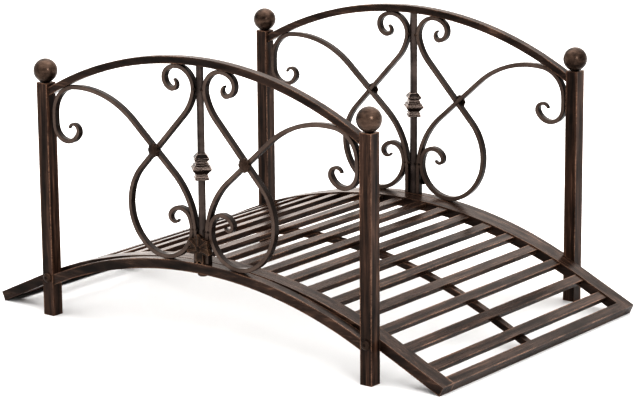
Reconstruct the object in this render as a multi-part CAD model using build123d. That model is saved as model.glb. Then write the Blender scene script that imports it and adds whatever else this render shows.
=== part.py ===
from build123d import *
from math import asin, atan2, cos, degrees, radians, sin, sqrt
import os

os.makedirs("parts", exist_ok=True)

# Overall layout in mm. X runs along the walk, Y across it, and Z is up from the ground.
post_spacing_x = 758.0
post_spacing_y = 666.0
post_height = 456.0

# Square tube posts, open at the foot and capped at the top
post_size = 25.0
post_wall = 1.2

# Ball finials, pressed steel shells with a hole at the seat
ball_diameter = 46.0
ball_wall = 1.5
ball_seat = 11.0
ball_hole = 7.0

# Arched rails of each side panel, rectangular tubes cut against the posts
top_rail_drop = 8.1
top_rail_radius = 743.5
top_rail_height = 14.0
top_rail_depth = 16.0
lower_rail_radius = 886.0
lower_rail_height = 19.0
lower_rail_depth = 20.0
rail_wall = 1.2

# Walking deck, an arched frame of rectangular tube with slats between its side rails
deck_crown = 162.0
deck_radius = 985.0
deck_slope = 25.4
deck_rail_width = 34.0
deck_rail_height = 19.0
deck_wall = 1.2
end_bar_width = 20.0
end_gap = 23.4
slat_count = 19
slat_width = 20.0
slat_height = 10.0
slat_wall = 1.0
slat_drop = 2.2
runner_width = 14.0
runner_height = 12.0

# Square centre bar of each panel, set corner on, and the cast collar that slides on it
bar_size = 12.7
bar_turn = 45.0
collar_neck = 16.0
collar_ring = 27.2
collar_waist = 21.0
collar_bead = 23.4
collar_shoulder = 30.6
collar_belly = 35.5
collar_foot = 26.0
collar_height = 49.0
collar_middle = 343.5
fit_clearance = 0.15

# Scrolls, bent in the plane of the panel from flat bar with soft corners, its wide side across the panel.
# Headings are degrees up from the X axis.
scroll_width = 8.4
scroll_depth = 12.0
scroll_corner = 1.2
tip_width = 4.0
tip_depth = 7.0
weld_gap = 0.2

outer_foot = 47.0
outer_sweep_radius = 153.0
outer_arch_radius = 190.5
outer_crest_radius = 54.8
outer_drop_radius = 178.0
outer_turn_radius = 30.6
outer_curl_radius = 12.4
outer_arch_end = -6.1
outer_crest_end = -85.4
outer_drop_end = -94.3
outer_turn_end = -242.2
outer_curl_end = -432.0
outer_post_gap = 6.5

inner_rise_radius = 51.4
inner_bottom_radius = 67.1
inner_belly_radius = 92.0
inner_shoulder_radius = 102.8
inner_neck_radius = 96.3
inner_crook_radius = 38.1
inner_turn_radius = 19.9
inner_curl_radius = 9.2
inner_rise_end = -67.6
inner_bottom_end = 24.6
inner_belly_end = 83.7
inner_neck_end = 104.7
inner_crook_end = -36.9
inner_turn_end = -178.0
inner_curl_end = -338.0

heel_rise_radius = 51.4
heel_turn_radius = 26.0
heel_curl_radius = 10.3
heel_rise_end = 67.1
heel_turn_end = -59.7
heel_curl_end = -239.7

# Cast ornaments welded to the outer face of the scrolls
rosette_diameter = 27.0
rosette_depth = 8.0
rosette_lobes = 8
rosette_dot = 6.0
casting_height = 57.0
casting_depth = 11.0
casting_boss = 14.0
stem_width = 17.0
stem_notch = 5.0
leaf_length = 28.0
leaf_width = 15.0
leaf_edge = 4.5
leaf_vein = 2.2
bract_length = 22.0

half_x = post_spacing_x / 2
half_y = post_spacing_y / 2
rail_span = post_spacing_x - post_size
bar_half = scroll_width / 2
upright = Rot(90, 0, 0)
parts = {}


def tube_section(width, height, wall):
    return Rectangle(width, height) - Rectangle(width - 2 * wall, height - 2 * wall)


# Posts and their ball finials
def post():
    body = extrude(Rectangle(post_size, post_size), post_height)
    bore = post_size - 2 * post_wall
    return body - extrude(Rectangle(bore, bore), post_height - post_wall)


def ball():
    radius = ball_diameter / 2
    lift = sqrt(radius**2 - (ball_seat / 2) ** 2)
    hole = Cylinder(ball_hole / 2, ball_diameter, align=(Align.CENTER, Align.CENTER, Align.MAX))
    shell = Sphere(radius) - Sphere(radius - ball_wall) - hole
    keep = Cylinder(ball_diameter, 2 * ball_diameter, align=(Align.CENTER, Align.CENTER, Align.MIN))
    return Pos(0, 0, post_height + lift) * (shell & (Pos(0, 0, -lift) * keep))


sides = {"front": -1, "back": 1}
ends = {"left": -1, "right": 1}
for side, y_sign in sides.items():
    for end, x_sign in ends.items():
        place = Pos(x_sign * half_x, y_sign * half_y, 0)
        parts[f"post_{side}_{end}"] = place * post()
        parts[f"ball_{side}_{end}"] = place * ball()


# Arched rails between the posts
def arched_rail(crown, radius, height, depth):
    centre = Pos(0, crown - radius)
    outer = Circle(radius) - Circle(radius - height)
    inner = Circle(radius - rail_wall) - Circle(radius - height + rail_wall)
    above = Pos(0, crown) * Rectangle(rail_span, 2 * radius)
    solid = extrude((centre * outer) & above, depth / 2, both=True)
    hollow = extrude((centre * inner) & above, depth / 2 - rail_wall, both=True)
    return upright * (solid - hollow)


def on_rail(crown, radius, x):
    return crown - radius + sqrt(radius**2 - x**2)


top_rail_rise = top_rail_radius - sqrt(top_rail_radius**2 - (rail_span / 2) ** 2)
top_rail_crown = post_height - top_rail_drop + top_rail_rise
for side, y_sign in sides.items():
    shift = Pos(0, y_sign * half_y, 0)
    top_rail = arched_rail(top_rail_crown, top_rail_radius, top_rail_height, top_rail_depth)
    lower_rail = arched_rail(deck_crown, lower_rail_radius, lower_rail_height, lower_rail_depth)
    parts[f"top_rail_{side}"] = shift * top_rail
    parts[f"lower_rail_{side}"] = shift * lower_rail

# Deck frame. The top line is an arc that runs out in straight tangents down to the ground.
slope = radians(deck_slope)
arc_end = (deck_radius * sin(slope), deck_crown - deck_radius * (1 - cos(slope)))
ramp = (arc_end[1] - deck_rail_height * cos(slope)) / sin(slope)
rail_outer_y = half_y - post_size / 2
rail_inner_y = rail_outer_y - deck_rail_width


def deck_line(depth, trim=0.0):
    radius = deck_radius - depth
    x, z = radius * sin(slope), deck_crown - deck_radius + radius * cos(slope)
    run = ramp - trim
    start = (-x - run * cos(slope), z - run * sin(slope))
    first = Line(start, (-x, z))
    arch = JernArc(first @ 1, first % 1, radius, -2 * deck_slope)
    last = Line(arch @ 1, (x + run * cos(slope), z - run * sin(slope)))
    return Wire([first, arch, last])


def along_deck(section, depth, trim=0.0):
    line = deck_line(depth, trim)
    start = Plane(origin=line @ 0, x_dir=(0, 0, 1), z_dir=line % 0)
    return upright * sweep(start * section, path=line)


def deck_rail():
    solid = along_deck(Rectangle(deck_rail_width, deck_rail_height), deck_rail_height / 2)
    hollow = Rectangle(deck_rail_width - 2 * deck_wall, deck_rail_height - 2 * deck_wall)
    return solid - along_deck(hollow, deck_rail_height / 2, deck_wall)


for side, y_sign in sides.items():
    parts[f"deck_rail_{side}"] = Pos(0, y_sign * (rail_outer_y - deck_rail_width / 2), 0) * deck_rail()


def deck_frame(x):
    """Plane square to the walk at x, its own X along the walk, Y up and Z across."""
    if abs(x) <= arc_end[0]:
        angle = asin(x / deck_radius)
        z = deck_crown - deck_radius + deck_radius * cos(angle)
    else:
        angle = slope if x > 0 else -slope
        z = arc_end[1] - (abs(x) - arc_end[0]) * sin(slope) / cos(slope)
    return Plane(origin=(x, 0, z), x_dir=(cos(angle), 0, -sin(angle)), z_dir=(0, -1, 0))


deck_end_x = arc_end[0] + ramp * cos(slope)
for end, x_sign in ends.items():
    section = tube_section(end_bar_width, deck_rail_height, deck_wall)
    section = Pos(-x_sign * end_bar_width / 2, -deck_rail_height / 2) * section
    parts[f"end_bar_{end}"] = extrude(deck_frame(x_sign * deck_end_x) * section, rail_inner_y, both=True)

last_slat_x = deck_end_x - (end_bar_width + end_gap + slat_width / 2) * cos(slope)
slat_pitch = 2 * last_slat_x / (slat_count - 1)
slat = Pos(0, -slat_drop - slat_height / 2) * tube_section(slat_width, slat_height, slat_wall)
for index in range(slat_count):
    x = (index - (slat_count - 1) / 2) * slat_pitch
    parts[f"slat_{index + 1:02d}"] = extrude(deck_frame(x) * slat, rail_inner_y, both=True)

runner_depth = slat_drop + slat_height + runner_height / 2
runner_section = tube_section(runner_width, runner_height, slat_wall)
parts["centre_runner"] = along_deck(runner_section, runner_depth, end_bar_width)

# Centre bar from rail to rail, turned so that a corner of the bar faces each scroll
corner_on = Rot(0, 0, bar_turn)
bar_corner = bar_size / 2 * (cos(radians(bar_turn)) + sin(radians(bar_turn)))
bar_foot = deck_crown
bar_head = on_rail(top_rail_crown - top_rail_height, top_rail_radius - top_rail_height, bar_corner)
bar = Pos(0, 0, bar_foot) * corner_on * extrude(Rectangle(bar_size, bar_size), bar_head - bar_foot)

# Cast collar: a moulded outline cut square from two sides and bored to slide on the bar.
# Levels are shares of its height, from two beads at the foot over the belly to the ring and its sloping top.
profile = [(collar_waist, 0), (collar_foot, 0.03), (collar_foot, 0.085), (collar_waist, 0.11),
           (collar_waist, 0.125), (collar_bead, 0.14), (collar_bead, 0.18), (collar_waist, 0.20),
           (collar_waist, 0.24), (collar_belly, 0.42), (collar_belly, 0.465), (collar_shoulder, 0.49),
           (collar_shoulder, 0.54), (collar_bead, 0.60), (collar_bead, 0.67), (collar_waist, 0.69),
           (collar_waist, 0.73), (collar_ring, 0.79), (collar_ring, 0.85), (collar_neck, 1.0)]
outline = [(width / 2, collar_height * level) for width, level in profile]
face = make_face(Polyline(*outline, *[(-half, z) for half, z in reversed(outline)], close=True))
along_x = extrude(Plane.YZ * face, collar_belly, both=True)
along_y = extrude(Plane.XZ * face, collar_belly, both=True)
bar_hole = bar_size + 2 * fit_clearance
bored = (along_x & along_y) - extrude(Rectangle(bar_hole, bar_hole), collar_height)
collar = Pos(0, 0, collar_middle - collar_height / 2) * corner_on * bored
for side, y_sign in sides.items():
    parts[f"centre_bar_{side}"] = Pos(0, y_sign * half_y, 0) * bar
    parts[f"collar_{side}"] = Pos(0, y_sign * half_y, 0) * collar


# Scrolls of the right half. An arc is known by its centre, radius and the headings at its ends.
def right_of(heading):
    angle = radians(heading)
    return Vector(sin(angle), -cos(angle))


def bend(start, heading, end_heading, radius):
    """Arc from start that turns from one heading to the other, left where the second is larger."""
    angle = radians(heading)
    return JernArc(start, (cos(angle), sin(angle)), radius, end_heading - heading)


def chain(start, heading, steps):
    arcs = []
    for radius, end_heading in steps:
        arcs.append(bend(start, heading, end_heading, radius))
        start, heading = arcs[-1] @ 1, end_heading
    return arcs


def bar_section(depth, width, place, direction):
    section = RectangleRounded(depth, width, scroll_corner)
    return Plane(origin=place, x_dir=(0, 0, 1), z_dir=direction) * section


def thick_bar(line):
    return upright * sweep(bar_section(scroll_depth, scroll_width, line @ 0, line % 0), path=line)


def tapered_tip(arc):
    """Last bend of a curl, drawn down from the bar to the curl's tip."""
    near = bar_section(scroll_depth, scroll_width, arc @ 0, arc % 0)
    far = bar_section(tip_depth, tip_width, arc @ 1, arc % 1)
    return upright * sweep([near, far], path=Wire([arc]), multisection=True)


top_centre = Vector(0, top_rail_crown - top_rail_radius)
under_top = top_rail_radius - top_rail_height - bar_half
low_centre = Vector(0, deck_crown - lower_rail_radius)
over_low = lower_rail_radius + bar_half
beside_bar = bar_corner + weld_gap + bar_half

# Outer scroll: up from the lower rail, out over the crossing, and under the top rail to its curl
foot = Vector(beside_bar, on_rail(deck_crown, lower_rail_radius, beside_bar - bar_half))
stem = Line(foot, foot + Vector(0, outer_foot))
sweep_centre = foot + Vector(outer_sweep_radius, outer_foot)
crest_x = (half_x - post_size / 2 - bar_half - outer_post_gap - outer_drop_radius
           + (outer_drop_radius - outer_crest_radius) * -right_of(outer_crest_end).X)
crest_z = top_centre.Y + sqrt((under_top - outer_crest_radius) ** 2 - crest_x**2)
arch_centre = Vector(crest_x, crest_z) + right_of(outer_arch_end) * (outer_arch_radius - outer_crest_radius)
between = arch_centre - sweep_centre
outer_tilt = asin((outer_arch_radius - outer_sweep_radius) / between.length)
outer_heading = degrees(atan2(between.Y, between.X) + outer_tilt)
outer_bend = bend(stem @ 1, 90, outer_heading, outer_sweep_radius)
arch_start = arch_centre - right_of(outer_heading) * outer_arch_radius
outer_line = Line(outer_bend @ 1, arch_start)
outer_arcs = chain(arch_start, outer_heading, [
    (outer_arch_radius, outer_arch_end), (outer_crest_radius, outer_crest_end),
    (outer_drop_radius, outer_drop_end), (outer_turn_radius, outer_turn_end),
    (outer_curl_radius, outer_curl_end)])
outer_path = [stem, outer_bend, outer_line, *outer_arcs[:-1]]
outer_scroll = thick_bar(Wire(outer_path)) + tapered_tip(outer_arcs[-1])

# Inner scroll: one bar from the curl by the foot, round the loop, through the crossing to the top curl.
# Its lowest bend rests on the lower rail, and its crook touches the top rail from below and the centre bar.
inner_inset = beside_bar + scroll_width + weld_gap
rise_shift = (inner_bottom_radius - inner_rise_radius) * right_of(inner_rise_end).X
bottom_x = inner_inset + inner_rise_radius - rise_shift
bottom_centre = Vector(bottom_x, low_centre.Y + sqrt((over_low + inner_bottom_radius) ** 2 - bottom_x**2))
rise_centre = bottom_centre + right_of(inner_rise_end) * (inner_bottom_radius - inner_rise_radius)
belly_centre = bottom_centre + right_of(inner_bottom_end) * (inner_bottom_radius - inner_belly_radius)
shoulder_centre = belly_centre + right_of(inner_belly_end) * (inner_belly_radius - inner_shoulder_radius)
crook_x = beside_bar + inner_crook_radius
crook_centre = Vector(crook_x, top_centre.Y + sqrt((under_top - inner_crook_radius) ** 2 - crook_x**2))
neck_centre = crook_centre + right_of(inner_neck_end) * (inner_neck_radius - inner_crook_radius)
between = neck_centre - shoulder_centre
inner_tilt = asin((inner_shoulder_radius + inner_neck_radius) / between.length)
inner_heading = degrees(atan2(between.Y, between.X) + inner_tilt)
heel = Vector(inner_inset, rise_centre.Y)
loop = chain(heel, -90, [
    (inner_rise_radius, inner_rise_end), (inner_bottom_radius, inner_bottom_end),
    (inner_belly_radius, inner_belly_end), (inner_shoulder_radius, inner_heading)])
neck_start = neck_centre - right_of(inner_heading) * inner_neck_radius
inner_line = Line(loop[-1] @ 1, neck_start)
crook = chain(neck_start, inner_heading, [
    (inner_neck_radius, inner_neck_end), (inner_crook_radius, inner_crook_end),
    (inner_turn_radius, inner_turn_end), (inner_curl_radius, inner_curl_end)])
tail = chain(heel, 90, [
    (heel_rise_radius, heel_rise_end), (heel_turn_radius, heel_turn_end),
    (heel_curl_radius, heel_curl_end)])
inner_path = [*loop, inner_line, *crook[:-1]]
inner_scroll = thick_bar(Wire(inner_path)) + tapered_tip(crook[-1])
inner_scroll = inner_scroll + thick_bar(Wire(tail[:-1])) + tapered_tip(tail[-1])
inner_scroll = inner_scroll - outer_scroll

# The crossing of the two straight runs carries the rosette
p, u = outer_line @ 0, outer_line % 0
q, v = inner_line @ 0, inner_line % 0
across = ((q.X - p.X) * v.Y - (q.Y - p.Y) * v.X) / (u.X * v.Y - u.Y * v.X)
crossing = p + u * across


def domed(flat, radius, depth):
    """Outline raised to a dome, depth high in the middle and about a third of it at the given radius."""
    fall = 2 * depth / 3
    bulge = (radius**2 + fall**2) / (2 * fall)
    return extrude(flat, depth) & (Pos(0, 0, depth - bulge) * Sphere(bulge))


half_step = radians(180 / rosette_lobes)
lobe = rosette_diameter / 2 * sin(half_step) / (1 + sin(half_step))
lobe_ring = rosette_diameter / 2 - lobe
scallops = Circle(lobe_ring) + PolarLocations(lobe_ring, rosette_lobes) * Circle(lobe)
dish = Pos(0, 0, rosette_depth) * Torus(rosette_dot, rosette_dot / 4)
rosette = domed(scallops, rosette_diameter / 2, rosette_depth) - dish


# Leaf casting at the foot of the centre bar: five veined leaves over four plain ones, a boss, and a stem on
# two feet, grooved behind for the corner of the bar
def leaf(turn, length, width, depth, vein):
    """Pointed leaf that swells from a thin edge to a ridge along its middle, with a vein cut in the ridge."""
    middle, half, tip = length / 2, width / 2, (length, 0)
    upper = ThreePointArc((0, 0), (middle, half), tip)
    lower = ThreePointArc(tip, (middle, -half), (0, 0))
    flat = make_face(Wire([upper, lower]))
    fall = depth - leaf_edge
    bulge = (half**2 + fall**2) / (2 * fall)
    along = (Align.CENTER, Align.CENTER, Align.MIN)
    swell = Pos(0, 0, depth - bulge) * Rot(0, 90, 0) * Cylinder(bulge, length, align=along)
    shape = extrude(flat, depth) & swell
    if vein:
        shape = shape - Pos(0, 0, depth) * Rot(0, 90, 0) * Cylinder(vein / 2, length, align=along)
    return Rot(0, 0, turn) * shape


stem_height = casting_height - leaf_length
casting = Pos(0, -stem_height / 2) * Rectangle(stem_width, stem_height)
casting = casting - Pos(0, -stem_height) * Circle(stem_notch)
casting = extrude(casting, leaf_edge)
for turn in (64, 116, 12, 168):
    casting = casting + leaf(turn, bract_length, leaf_width, casting_depth - leaf_edge, 0)
for turn in (90, 38, 142, -16, 196):
    casting = casting + leaf(turn, leaf_length, leaf_width, casting_depth - leaf_vein, leaf_vein)
casting = casting + domed(Circle(casting_boss / 2), casting_boss / 2, casting_depth)
groove = extrude(Plane.XZ * (corner_on * Rectangle(bar_hole, bar_hole)), casting_height, both=True)
casting = casting - Pos(0, 0, -scroll_depth / 2) * groove
casting_z = deck_crown + stem_height

for side, y_sign in sides.items():
    shift = Pos(0, y_sign * half_y, 0)
    pair = []
    for end, x_sign in ends.items():
        for name, solid in (("outer_scroll", outer_scroll), ("inner_scroll", inner_scroll)):
            turned = solid if x_sign > 0 else mirror(solid, Plane.YZ)
            parts[f"{name}_{side}_{end}"] = shift * turned
        seat = (x_sign * crossing.X, y_sign * scroll_depth / 2, crossing.Y)
        pair.append(Plane(origin=seat, x_dir=(-y_sign, 0, 0), z_dir=(0, y_sign, 0)) * rosette)
    parts[f"rosettes_{side}"] = shift * Compound(children=pair)
    seat = (0, y_sign * scroll_depth / 2, casting_z)
    outward = Plane(origin=seat, x_dir=(-y_sign, 0, 0), z_dir=(0, y_sign, 0))
    parts[f"leaf_casting_{side}"] = shift * (outward * casting)

for name, solid in parts.items():
    export_step(solid, f"parts/{name}.step")
    print(name, len(solid.solids()), round(solid.volume), solid.is_valid)
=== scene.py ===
# %% [markdown]
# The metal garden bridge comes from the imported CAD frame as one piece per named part.
# This script adds the finish, the bolts and welds, the light and the camera.

import bmesh
import bpy
import numpy as np
from mathutils import Matrix, Vector


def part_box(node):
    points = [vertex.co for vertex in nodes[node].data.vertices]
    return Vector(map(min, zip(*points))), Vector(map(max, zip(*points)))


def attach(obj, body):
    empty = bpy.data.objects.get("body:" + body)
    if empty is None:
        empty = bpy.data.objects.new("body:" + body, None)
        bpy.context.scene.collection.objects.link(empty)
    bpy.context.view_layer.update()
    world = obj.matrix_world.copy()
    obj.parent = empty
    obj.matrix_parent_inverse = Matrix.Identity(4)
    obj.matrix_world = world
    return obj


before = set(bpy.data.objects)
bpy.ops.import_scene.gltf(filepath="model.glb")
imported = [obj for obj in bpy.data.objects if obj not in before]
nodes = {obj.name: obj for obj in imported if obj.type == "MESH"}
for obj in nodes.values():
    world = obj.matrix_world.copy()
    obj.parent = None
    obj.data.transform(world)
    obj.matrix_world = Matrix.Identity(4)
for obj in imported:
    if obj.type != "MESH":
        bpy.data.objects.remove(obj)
print(len(nodes), "pieces in the frame")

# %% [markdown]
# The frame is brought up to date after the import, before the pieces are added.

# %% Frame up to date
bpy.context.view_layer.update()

# %% [markdown]
# Shader arithmetic is easier to read as Python. The class below wraps one socket, and its operators add Math
# nodes. Colours and vectors go through the node method, because a Math node would turn them grey.


# %% Shader values as Python expressions
class Value:
    """A socket of a node tree that adds Math nodes when it is added, multiplied and so on."""

    def __init__(self, tree, socket=None):
        self.tree, self.socket = tree, socket

    def node(self, kind, settings=None, output=0, **inputs):
        """A node of any type, with its settings first, then values or links for the sockets named by inputs.
        i0 is the first socket, an underscore stands for a space, and output is a socket's name or number."""
        made = self.tree.nodes.new(kind)
        for name, value in (settings or {}).items():
            setattr(made, name, value)
        for name, value in inputs.items():
            numbered = name[0] == "i" and name[1:].isdigit()
            key = int(name[1:]) if numbered else name.replace("_", " ")
            if isinstance(value, Value):
                self.tree.links.new(value.socket, made.inputs[key])
            else:
                made.inputs[key].default_value = value
        return Value(self.tree, made.outputs[output])

    def math(self, operation, first, second):
        """A Math node on two values, or on a value and a number."""
        return self.node("ShaderNodeMath", {"operation": operation}, i0=first, i1=second)

    def __add__(self, other):
        return self.math("ADD", self, other)

    def __radd__(self, other):
        return self.math("ADD", other, self)

    def __sub__(self, other):
        return self.math("SUBTRACT", self, other)

    def __rsub__(self, other):
        return self.math("SUBTRACT", other, self)

    def __mul__(self, other):
        return self.math("MULTIPLY", self, other)

    def __rmul__(self, other):
        return self.math("MULTIPLY", other, self)

    def clipped(self, low, high):
        """The value spread so that low becomes 0 and high becomes 1, with a soft step between them."""
        settings = {"interpolation_type": "SMOOTHSTEP"}
        return self.node("ShaderNodeMapRange", settings, Value=self, From_Min=low, From_Max=high)

    def noise(self, place, scale, detail, roughness):
        """Noise with scale cells to a metre at place, and detail finer layers that fade by roughness."""
        return self.node("ShaderNodeTexNoise", Vector=place, Scale=scale, Detail=detail, Roughness=roughness)

    def mixed(self, factor, first, second):
        """The colour that lies factor of the way from first to second."""
        start, end = [c if isinstance(c, Value) else (*c, 1) for c in (first, second)]
        return self.node("ShaderNodeMix", {"data_type": "RGBA"}, output=2, i0=factor, i6=start, i7=end)


# %% [markdown]
# The paint is an antique bronze: a brown that is nearly black, with lighter browns where hands and the brush
# rubbed it, copper on the edges that is partly rubbed wear and partly a painted highlight, and a pale painted
# highlight on the collars' ridges. Blender takes colours as amounts of light, so these numbers are lower
# than a paint program's for the same colour.

# %% Colours of the paint
black_brown = (0.006, 0.0033, 0.0022)
warm_brown = (0.056, 0.0310, 0.0215)
deck_brown = (0.038, 0.0225, 0.0165)
scroll_brown = (0.100, 0.074, 0.061)
scroll_shade = (0.060, 0.042, 0.034)
bar_brown = (0.095, 0.073, 0.064)
golden_brown = (0.100, 0.068, 0.052)
collar_brown = (0.022, 0.015, 0.012)
rosette_brown = (0.050, 0.031, 0.022)
leaf_brown = (0.060, 0.038, 0.024)
# Copper for the edges: partly rubbed wear, partly a painted highlight where edges would catch the light.
copper_wear_and_highlight = (0.32, 0.190, 0.130)
# A pale painted highlight for the collars' ridges.
pale_highlight = (0.62, 0.50, 0.44)
print("darkest paint", black_brown, "and palest edge", pale_highlight)

# %% [markdown]
# The finish has faint lines that a brush left along each tube, warmer patches, and a colour on the edges:
# copper that is partly rubbed bare and partly a painted highlight, a pale painted highlight on the collars,
# and painted shade on the edges of the scrolls and the centre bar. It mirrors little when seen square on, and
# much more at a low angle, so the tops of the deck are pale while the sides of the same tubes stay nearly
# black. The edge colour lies where a normal rounded over a few millimetres differs from the true one.


# %% The bronze finish
line_scale, streak_scale, cloud_scale, speck_scale, patch_scale = 330.0, 95.0, 22.0, 300.0, 13.0
mirror_level, edge_metallic = 0.12, 0.6
bump_strength, bump_depth = 0.2, 0.0005


def bronze(name, grain, face, edge, roughness, metallic, brush, reach=0.0034, edge_band=(0.006, 0.14), edge_amount=0.9,
           even=0.0, worn=0.4, dark=black_brown, side_shade=0.0):
    """Paint from dark to face, in clouds and in streaks along grain, with an edge colour and lines in the
    bump.
    brush is the share of streaks against clouds. reach is how far from an edge the normal is rounded, and
    edge_band is how large 1 - (rounded normal . true normal) is where the edge colour starts and where it is
    full. edge_amount is how much of the edge colour shows there, and even the share of it that doesn't come
    in patches. A copper edge colour is rubbed wear and a painted highlight, a pale one is a painted
    highlight, and a dark one is painted shade. worn is how much edge colour lies in lines on the faces.
    side_shade is how much painted shade darkens the faces that don't look along Y."""
    material = bpy.data.materials.new(name)
    material.use_nodes = True
    tree = material.node_tree
    shader = tree.nodes["Principled BSDF"]
    start = Value(tree)
    place = start.node("ShaderNodeTexCoord", output="Object")
    along = start.node("ShaderNodeMapping", Vector=place, Scale=grain)
    lines = start.noise(along, line_scale, 4.0, 0.66)
    streaks = start.noise(along, streak_scale, 3.0, 0.6)
    clouds = start.noise(place, cloud_scale, 4.0, 0.62)
    specks = start.noise(place, speck_scale, 2.0, 0.5)
    patches = start.noise(place, patch_scale, 2.0, 0.5)
    flat = start.node("ShaderNodeNewGeometry", output="Normal")
    soft = start.node("ShaderNodeBevel", {"samples": 6}, Radius=reach)
    dot = {"operation": "DOT_PRODUCT"}
    facing = start.node("ShaderNodeVectorMath", dot, output="Value", i0=flat, i1=soft)
    here = (0.3 + specks.clipped(0.34, 0.62) * 0.7) * (0.2 + patches.clipped(0.42, 0.6) * 0.8)
    # The edge colour: copper is rubbed wear with a painted highlight, pale is a painted highlight, dark is
    # painted shade.
    edge_wear_and_light = (1.0 - facing).clipped(*edge_band) * (even + here * (1 - even)) * edge_amount
    warm = clouds.clipped(0.36, 0.66) * (1 - brush) + streaks.clipped(0.34, 0.68) * brush
    scuffs = lines.clipped(0.5, 0.72) * streaks.clipped(0.42, 0.66) * worn
    body = start.mixed(warm, dark, face)
    body = start.mixed(scuffs, body, edge)
    # Painted shade: faces that don't look along Y are darkened towards black, as if the light missed them.
    if side_shade:
        turned = start.node("ShaderNodeTexCoord", output="Normal")
        front = start.node("ShaderNodeSeparateXYZ", output="Y", Vector=turned)
        body = start.mixed((1.0 - front * front).clipped(0.2, 0.8) * side_shade, body, black_brown)
    colour = start.mixed(edge_wear_and_light, body, edge)
    gloss = roughness + (0.5 - warm) * 0.14 + (lines - 0.5) * 0.16
    shine = metallic + edge_wear_and_light * (edge_metallic - metallic)
    relief = lines * brush + specks * 0.5
    bump = start.node("ShaderNodeBump", Strength=bump_strength, Distance=bump_depth, Height=relief)
    surface = {"Base Color": colour, "Roughness": gloss, "Metallic": shine, "Normal": bump}
    for target, value in surface.items():
        tree.links.new(value.socket, shader.inputs[target])
    shader.inputs["Specular IOR Level"].default_value = mirror_level
    return material


# Each gives its grain, face and edge colours, roughness, metallic and brush, then what it has of its own.
paint = {
    "upright": bronze("bronze_upright", (1.0, 1.0, 0.05), warm_brown, copper_wear_and_highlight, 0.34, 0.05, 0.8),
    "cross": bronze("bronze_cross", (1.0, 0.05, 1.0), deck_brown, copper_wear_and_highlight, 0.26, 0.05, 0.7, worn=0.25),
    "along": bronze("bronze_along", (0.07, 1.0, 0.5), deck_brown, copper_wear_and_highlight, 0.28, 0.05, 0.7,
                    edge_amount=0.7, worn=0.25),
    # The scrolls' edges are painted dark: painted shade along their edges, and on the faces turned from Y.
    "bent": bronze("bronze_bent", (0.5, 0.5, 0.5), scroll_brown, black_brown, 0.26, 0.1, 0.2,
                   reach=0.0030, edge_band=(0.004, 0.16), edge_amount=0.9, even=0.9, worn=0.0,
                   dark=scroll_shade, side_shade=0.9),
    # The centre bar's edges are painted dark: painted shade along its edges.
    "bar": bronze("bronze_bar", (1.0, 1.0, 0.05), bar_brown, black_brown, 0.30, 0.1, 0.5,
                  reach=0.0024, edge_band=(0.01, 0.25), edge_amount=0.8, even=0.8, worn=0.1),
    "ball": bronze("bronze_ball", (0.6, 0.6, 1.6), golden_brown, copper_wear_and_highlight, 0.25, 0.62, 0.35, worn=0.12),
    # The collars' edges are painted pale all round: a painted highlight on every ridge.
    "collar": bronze("bronze_collar", (0.3, 0.3, 0.6), collar_brown, pale_highlight, 0.24, 0.3, 0.1,
                     reach=0.0018, edge_band=(0.02, 0.12), edge_amount=1.0, even=1.0, worn=0.0),
    "cast": bronze("bronze_cast", (0.6, 0.6, 0.6), rosette_brown, copper_wear_and_highlight, 0.30, 0.2, 0.2,
                   reach=0.0010, edge_band=(0.02, 0.2), edge_amount=0.5, even=0.3, worn=0.1),
    "leaf": bronze("bronze_leaf", (0.6, 0.6, 0.6), leaf_brown, copper_wear_and_highlight, 0.30, 0.2, 0.2,
                   reach=0.0030, edge_band=(0.03, 0.2), edge_amount=0.7, even=0.5, worn=0.1),
}
print(len(paint), "bronze finishes")

# %% [markdown]
# Each CAD piece takes the finish whose brush lines run along it: posts upright, slats across, rails along the
# walk. The bent scrolls, the castings and the balls have finishes of their own.

# %% Finish on every piece
finish_of = {
    "post": "upright", "centre_bar": "bar", "slat": "cross", "end_bar": "cross", "top_rail": "along",
    "lower_rail": "along", "deck_rail": "along", "centre_runner": "along", "outer_scroll": "bent",
    "inner_scroll": "bent", "ball": "ball", "collar": "collar", "rosettes": "cast", "leaf_casting": "leaf"}
for name, piece in nodes.items():
    kind = next(key for key in finish_of if name.startswith(key))
    piece.data.materials.clear()
    piece.data.materials.append(paint[finish_of[kind]])
print("finished", len(nodes), "pieces")

# %% [markdown]
# The bolts and welds are too small for the CAD model, so they are drawn here as surfaces of two parameters.
# One helper turns such grids into a piece: it joins the points that meet, as they do along a seam and at a
# pole, and turns every face outwards.


# %% Grids of points to a piece
join_distance = 2e-6


def piece_from_grids(name, grids, finish):
    """One mesh from grids of points p[row, column], with a face between each four neighbours."""
    points, faces, start = [], [], 0
    for grid in grids:
        rows, columns = grid.shape[:2]
        corner = start + np.arange(rows - 1)[:, None] * columns + np.arange(columns - 1)
        corners = [corner, corner + 1, corner + columns + 1, corner + columns]
        faces.append(np.stack(corners, axis=-1).reshape(-1, 4))
        points.append(grid.reshape(-1, 3))
        start += rows * columns
    mesh = bpy.data.meshes.new(name)
    mesh.from_pydata(np.concatenate(points), [], np.concatenate(faces))
    work = bmesh.new()
    work.from_mesh(mesh)
    bmesh.ops.remove_doubles(work, verts=work.verts, dist=join_distance)
    bmesh.ops.recalc_face_normals(work, faces=work.faces)
    work.to_mesh(mesh)
    work.free()
    mesh.shade_smooth()
    mesh.materials.append(finish)
    piece = bpy.data.objects.new(name, mesh)
    bpy.context.scene.collection.objects.link(piece)
    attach(piece, "root")
    print(name, len(mesh.polygons), "faces")


def across(axis):
    """Two unit vectors square to axis and to each other."""
    axis = np.asarray(axis, float)
    side = np.cross(axis, (0.0, 0.0, 1.0) if abs(axis[2]) < 0.9 else (1.0, 0.0, 0.0))
    side = side / np.linalg.norm(side)
    return side, np.cross(axis, side)


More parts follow.
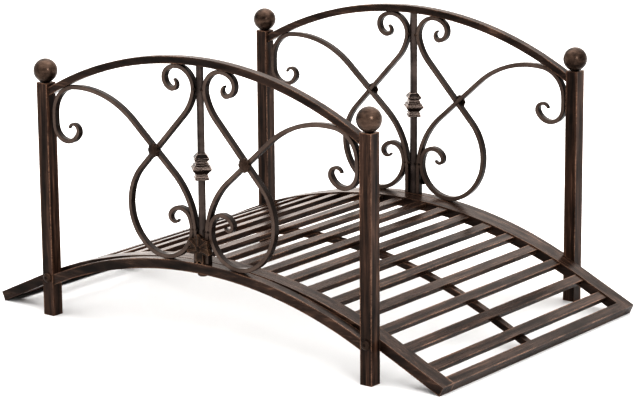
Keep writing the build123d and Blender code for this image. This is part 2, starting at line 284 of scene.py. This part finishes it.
# %% [markdown]
# The added pieces stand on the posts and rails, so the places of the posts and of the rails' ends are read
# from the frame, to a tenth of a millimetre. The other corners mirror the one that is read.


# %% Places on the posts and rails
def corners_of(node):
    """A node's lowest and highest corners, to a tenth of a millimetre."""
    return [np.round(corner, 4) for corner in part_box(node)]


def rail_end_section(node, depth):
    """Half the rail's width, and its lowest and highest level where it meets a post, depth apart."""
    low, high = corners_of(node)
    return (high[1] - low[1]) / 2, low[2], low[2] + depth


top_rail_depth, lower_rail_depth = 0.0161, 0.0209
post_low, post_high = corners_of("post_back_right")
post_x, post_y = (post_low[:2] + post_high[:2]) / 2
post_half, post_top = (post_high[0] - post_low[0]) / 2, post_high[2]
rail_end, deck_face = post_x - post_half, post_y - post_half
top_rail = rail_end_section("top_rail_back", top_rail_depth)
lower_rail = rail_end_section("lower_rail_back", lower_rail_depth)
print("posts at", post_x, post_y, "and rail ends from levels", top_rail[1], lower_rail[1])

# %% [markdown]
# A domed bolt holds each post to the deck's side rail, and one more sits under the middle of each lower rail.
# The head is turned: its outline runs from the seat over the dome, and drops into a six-sided socket.


# %% Domed bolt heads
def bolt_head(seat, axis, radius, height, socket):
    """Outline r(t), h(t) turned about the axis: a rim to a quarter of the height, then a dome with
    r = radius * cos(t)^0.75 and h = height * (1 + 3 sin(t)) / 4, and a socket half as deep as the head.
    In the socket r is its half width over the cosine of the angle from the middle of the nearest flat."""
    turn = np.linspace(0, 2 * np.pi, 49)
    dome = np.linspace(0, np.pi / 2, 11)
    ring = radius * np.cos(dome) ** 0.75
    level = 0.25 * height + 0.75 * height * np.sin(dome)
    keep = ring > socket * 1.2
    ring = np.concatenate([[0, radius], ring[keep], [socket, socket, 0]])
    level = np.concatenate([[0, 0], level[keep], [height * 0.97, height * 0.45, height * 0.45]])
    six = 1 / np.cos((turn % (np.pi / 3)) - np.pi / 6)
    in_socket = np.arange(len(ring)) >= len(ring) - 3
    flats = 1 + in_socket[:, None] * (six - 1)
    side, other = across(axis)
    reach = ring[:, None] * flats
    spread = reach[..., None] * (np.cos(turn)[:, None] * side + np.sin(turn)[:, None] * other)
    return np.asarray(seat) + spread + level[:, None, None] * np.asarray(axis, float)


post_bolt = {"radius": 0.0095, "height": 0.0055, "socket": 0.0030}
rail_bolt = {"radius": 0.0105, "height": 0.0064, "socket": 0.0030}
post_bolt_level, rail_bolt_level = 0.0752, 0.143
bolts = []
for x in (-post_x, post_x):
    for y in (-1, 1):
        bolts.append(bolt_head((x, y * (post_y + post_half), post_bolt_level), (0, y, 0), **post_bolt))
for y in (-post_y, post_y):
    bolts.append(bolt_head((0, y, rail_bolt_level), (0, 0, -1), **rail_bolt))
piece_from_grids("bolts", bolts, paint["cast"])

# %% [markdown]
# Every joint of the real bridge is welded. A weld is a thin bead, rippled where the pool froze step by step.
# Each is a tube carried along its seam, with a radius that ripples along the way. Round a rail's end it runs
# full circle, and up the edge of a post, beside the deck's side rail, it tapers away at both ends.


# %% Weld beads
ring_gap, ripple, swell = 0.0009, 0.0022, 0.0061


def bead(path, radius, seed, closed=False):
    """Tube round a path: p(u, v) = path(u) + r(u) (cos v flat + sin v other), and r is zero at open ends.
    r(u) = radius * (1 + 0.16 sin(2 pi u / ripple + a drawn phase) + 0.1 sin(u / swell + seed)).
    On a closed path the first and last rings lie square to their own ends of it, and meet only in part."""
    path = np.asarray(path, float)
    chance = np.random.default_rng(seed)
    steps = np.linalg.norm(np.diff(path, axis=0), axis=1)
    run = np.concatenate([[0], np.cumsum(steps)])
    u = np.linspace(0, run[-1], max(12, int(run[-1] / ring_gap)))
    centre = np.stack([np.interp(u, run, path[:, axis]) for axis in range(3)], axis=1)
    wave = 1 + 0.16 * np.sin(u / ripple * 2 * np.pi + chance.uniform(0, 6)) + 0.1 * np.sin(u / swell + seed)
    size = radius * wave
    if not closed:
        size = size * np.clip(1 - np.abs(2 * u / run[-1] - 1) ** 6, 0, 1) ** 0.5
    size[-1] = size[0]
    heading = np.gradient(centre, axis=0)
    heading = heading / np.linalg.norm(heading, axis=1, keepdims=True)
    main = path[1] - path[0]
    turns = len(path) > 2
    flat = np.cross(main, path[2] - path[1]) if turns else across(main / np.linalg.norm(main))[0]
    flat = flat / np.linalg.norm(flat)
    other = np.cross(heading, flat)
    turn = np.linspace(0, 2 * np.pi, 9)
    ring = np.cos(turn)[:, None] * flat + np.sin(turn)[:, None] * other[:, None, :]
    return centre[:, None, :] + size[:, None, None] * ring


def seam(x, y, half, low, high):
    """Closed seam round a rail's end against a post: a rectangle in the post's face, with its corners cut."""
    cut = 0.002
    corners = [(-half + cut, low), (half - cut, low), (half, low + cut), (half, high - cut),
               (half - cut, high), (-half + cut, high), (-half, high - cut), (-half, low + cut),
               (-half + cut, low)]
    return [(x, y + sideways, z) for sideways, z in corners]


rail_weld, deck_weld, below_top = 0.0011, 0.0017, 0.002
# The arch of the deck's side rails: the level of its crown, its outer radius and the depth of the rail.
deck_crown, deck_radius, deck_depth = 0.162, 0.985, 0.019
beads, number = [], 0
for y in (-post_y, post_y):
    for x in (-rail_end, rail_end):
        number += 1
        beads.append(bead(seam(x, y, *top_rail), rail_weld, number, closed=True))
        beads.append(bead(seam(x, y, *lower_rail), rail_weld, 20 + number, closed=True))
for x in (-post_x - post_half, -rail_end, rail_end, post_x + post_half):
    top = deck_crown - deck_radius + np.sqrt(deck_radius**2 - x**2)
    for y in (-deck_face, deck_face):
        number += 1
        beads.append(bead([(x, y, top - deck_depth), (x, y, top - below_top)], deck_weld, 40 + number))
piece_from_grids("rail_welds", beads, paint["cast"])

# %% [markdown]
# Where two bars only touch, the welder left a dab on each side. The places are the contacts of the scrolls:
# with the lower rail, with the top rail, with the centre bar and with each other. Each dab is an ellipsoid
# whose middle lies a millimetre inside the face of the bars, so that it stands a little proud of them.


# %% Dabs between the scrolls, the rails and the centre bar
def lump(centre, radii, seed):
    """Ellipsoid with a few soft dents: p = centre + radii * d * (sin a cos b, sin a sin b, cos a), where
    d = 1 + 0.12 sin(3b + a drawn phase) sin(a)^2 cos(2a)."""
    chance = np.random.default_rng(seed)
    rise, turn = np.linspace(0, np.pi, 13)[:, None], np.linspace(0, 2 * np.pi, 17)[None, :]
    dent = 1 + 0.12 * np.sin(3 * turn + chance.uniform(0, 6)) * np.sin(rise) ** 2 * np.cos(2 * rise)
    upward = np.cos(rise) * np.ones_like(turn)
    unit = np.stack([np.sin(rise) * np.cos(turn), np.sin(rise) * np.sin(turn), upward], -1)
    return np.asarray(centre) + unit * dent[..., None] * np.asarray(radii)


# The place along the walk and the level of each contact on the right half, which the left half mirrors.
touches = {"crest": (0.327, 0.4531), "crook": (0.0546, 0.5285), "loop": (0.0813, 0.1583),
           "crook_bar": (0.0091, 0.4863), "stem_bar": (0.0091, 0.2233), "stem_heel": (0.0177, 0.2233)}
dab_radii, dab_face = (0.0042, 0.0016, 0.0030), 0.0050
dabs = []
for x, z in touches.values():
    for side_x in (-1, 1):
        for y in (-post_y, post_y):
            for face in (-dab_face, dab_face):
                dabs.append(lump((side_x * x, y + face, z), dab_radii, len(dabs)))
piece_from_grids("scroll_welds", dabs, paint["cast"])
print(len(dabs), "dabs, where the scrolls touch at", ", ".join(touches))

# %% [markdown]
# A low ring of weld closes the seat of each ball on its post. It is the same bead, carried round a circle.

# %% Ball seats
ball_weld, seat_radius, seat_lift, seat_seed = 0.0013, 0.0062, 0.0002, 7
turn = np.linspace(0, 2 * np.pi, 33)
seats = []
for x in (-post_x, post_x):
    for y in (-post_y, post_y):
        level = np.full_like(turn, post_top + seat_lift)
        circle = np.stack([x + seat_radius * np.cos(turn), y + seat_radius * np.sin(turn), level], axis=1)
        seats.append(bead(circle, ball_weld, seat_seed, closed=True))
piece_from_grids("ball_welds", seats, paint["cast"])

# %% [markdown]
# The floor is a plain pale sheet, well past the bridge on every side, so that no edge of it shows.

# %% Floor
floor_reach, floor_grey, floor_roughness = 30, 0.74, 0.9
floor_corners = [(-floor_reach, -floor_reach, 0), (floor_reach, -floor_reach, 0),
                 (floor_reach, floor_reach, 0), (-floor_reach, floor_reach, 0)]
floor_mesh = bpy.data.meshes.new("floor")
floor_mesh.from_pydata(floor_corners, [], [(0, 1, 2, 3)])
floor = bpy.data.objects.new("floor", floor_mesh)
bpy.context.scene.collection.objects.link(floor)
floor_paint = bpy.data.materials.new("pale_floor")
floor_paint.use_nodes = True
floor_shader = floor_paint.node_tree.nodes["Principled BSDF"]
floor_shader.inputs["Base Color"].default_value = (floor_grey, floor_grey, floor_grey, 1)
floor_shader.inputs["Roughness"].default_value = floor_roughness
floor_mesh.materials.append(floor_paint)
print("floor reaches", floor_reach, "metres each way")

# %% [markdown]
# The photo has a white surround and soft light, with broad pale sheens on the upper faces. A white sky gives
# the surround, a little brighter at the horizon, and brightest overhead for the sheens. Panels add to it:
# one above, two warm ones behind the bridge, and a small one by the camera, which each ball mirrors.


# %% Light
def panel(name, place, aim, width, height, power, colour=(1.0, 1.0, 1.0)):
    """A soft rectangular light at place that faces aim."""
    lamp = bpy.data.lights.new(name, "AREA")
    lamp.color = colour
    lamp.shape, lamp.size, lamp.size_y, lamp.energy = "RECTANGLE", width, height, power
    holder = bpy.data.objects.new(name, lamp)
    holder.location = place
    holder.rotation_euler = (Vector(aim) - Vector(place)).to_track_quat("-Z", "Y").to_euler()
    bpy.context.scene.collection.objects.link(holder)
    print(name, "panel of", power, "watts")


sky_white, warm_light = (1.0, 0.99, 0.98, 1), (1.0, 0.84, 0.74)
even_light, horizon_light, zenith_light = 0.55, 0.55, 1.9
sky = bpy.data.worlds.new("studio")
sky.use_nodes = True
backdrop = sky.node_tree.nodes["Background"]
start = Value(sky.node_tree)
# In a sky, the first output of this node is the direction that is looked in.
toward = start.node("ShaderNodeTexCoord")
height = start.node("ShaderNodeSeparateXYZ", output="Z", Vector=toward)
low_part = (1.0 - height.clipped(0.0, 0.3)) * horizon_light
light = even_light + low_part + height.clipped(0.2, 1.0) * zenith_light
backdrop.inputs["Color"].default_value = sky_white
sky.node_tree.links.new(light.socket, backdrop.inputs["Strength"])
bpy.context.scene.world = sky
bpy.context.scene.view_settings.view_transform = "Standard"
bpy.context.scene.view_settings.look = "High Contrast"
panel("overhead", (0.0, 0.4, 2.6), (0, 0, 0.2), 2.6, 2.0, 14)
panel("behind", (-0.7, 2.7, 2.0), (0.1, 0, 0.2), 3.0, 1.4, 11, warm_light)
panel("far_left", (-3.4, 4.2, 0.9), (-0.3, 0, 0.15), 4.0, 1.6, 18, warm_light)
panel("camera_side", (2.6, -1.6, 1.7), (0, 0, 0.25), 0.9, 0.9, 20)

# %% [markdown]
# The camera was fitted to the posts, balls and deck corners of the photo: a long lens a little above the
# handrails, seen from the right front corner. Its turn is set from the yaw, pitch and roll that the fit gave.

# %% Camera
camera_place, focal_length = (3.10187, -4.0344, 1.47528), 153.30
yaw, pitch, roll = 0.65291, 0.24312, -0.00834
forward = np.array([-np.sin(yaw) * np.cos(pitch), np.cos(yaw) * np.cos(pitch), -np.sin(pitch)])
right = np.array([np.cos(yaw), np.sin(yaw), 0.0])
up = np.cross(right, forward)
level_right = right * np.cos(roll) + up * np.sin(roll)
level_up = up * np.cos(roll) - right * np.sin(roll)
camera_frame = np.eye(4)
camera_frame[:3] = np.stack([level_right, level_up, -forward, camera_place], axis=1)
lens = bpy.data.cameras.new("photo_view")
lens.sensor_width, lens.lens, lens.clip_end = 36.0, focal_length, 100.0
camera = bpy.data.objects.new("photo_view", lens)
camera.matrix_world = Matrix(camera_frame.tolist())
bpy.context.scene.collection.objects.link(camera)
bpy.context.scene.camera = camera
print("lens", lens.lens, "at", camera_place)
